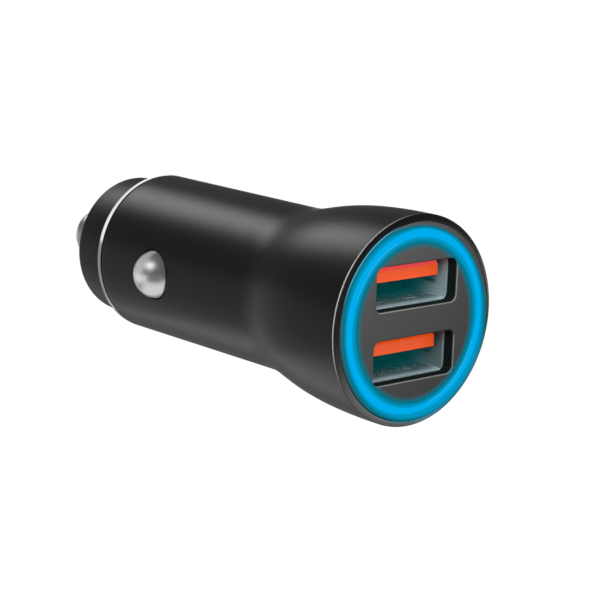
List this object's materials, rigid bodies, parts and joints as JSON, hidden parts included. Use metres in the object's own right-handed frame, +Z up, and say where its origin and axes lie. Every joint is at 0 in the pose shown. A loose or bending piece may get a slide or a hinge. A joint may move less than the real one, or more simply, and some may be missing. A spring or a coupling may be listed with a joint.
{
  "type": "car usb charger plug",
  "caption": "Flared metal plug for a car's 12 V socket, with stacked USB-A ports behind a lit ring in its round face, a sprung centre tip and sprung domed side contacts",
  "frame": {"origin": "on the plug's axis, 1.2 mm past the end of the flare, where the straight barrel that enters the socket begins", "axes": "+Y points from the face to the nose, the way the plug goes into the socket; +Z is up across the stacked ports; +X is to the right of the ports seen from the face"},
  "size_m": [0.0254, 0.0654, 0.0254],
  "materials": {
    "body_black": "black anodised, satin",
    "face_grey": "fine matt grain",
    "ring_blue": "clear moulding lit blue from behind",
    "board_green": "lacquered glass laminate",
    "lamp_white": "cast resin",
    "port_steel": "nickel-plated sheet",
    "tongue_orange": "moulded, slight gloss",
    "contact_brass": "gilded strip",
    "plastic_black": "moulded satin",
    "spring_steel": "drawn wire and strip",
    "bright_plate": "bright nickel plate",
    "can_aluminium": "drawn can",
    "core_grey": "pressed iron powder"
  },
  "bodies": {
    "body": {"housing": "body_black", "face_plate": "face_grey", "light_ring": "ring_blue", "led_board": "board_green", "leds": "lamp_white", "upper_port_shell": "port_steel", "upper_port_tongue": "tongue_orange", "upper_port_contacts": "contact_brass", "lower_port_shell": "port_steel", "lower_port_tongue": "tongue_orange", "lower_port_contacts": "contact_brass", "circuit_board": "board_green", "contact_carrier": "plastic_black", "side_spring": "spring_steel", "tip_terminal": "contact_brass", "tip_spring": "spring_steel", "nose_ring": "bright_plate", "nose_cap": "plastic_black", "output_capacitor": "can_aluminium", "input_capacitor": "can_aluminium", "inductor": "core_grey", "controller_chip": "plastic_black"},
    "left_contact": {"side_contact_left": "bright_plate"},
    "right_contact": {"side_contact_right": "bright_plate"},
    "tip": {"tip_pin": "bright_plate"}
  },
  "joints": [
    {"name": "tip_press", "type": "slide", "parent": "body", "child": "tip", "axis": [0, -1, 0], "range_m": [0, 0.003], "stiffness_N_per_m": 1500, "springref_m": -0.002, "deforming": ["tip_spring"]},
    {"name": "left_contact_press", "type": "slide", "parent": "body", "child": "left_contact", "axis": [1, 0, 0], "range_m": [0, 0.002], "stiffness_N_per_m": 1500, "springref_m": -0.001, "deforming": ["side_spring"]},
    {"name": "right_contact_press", "type": "slide", "parent": "body", "child": "right_contact", "axis": [-1, 0, 0], "range_m": [0, 0.002], "stiffness_N_per_m": 1500, "springref_m": -0.001, "deforming": ["side_spring"]}
  ]
}
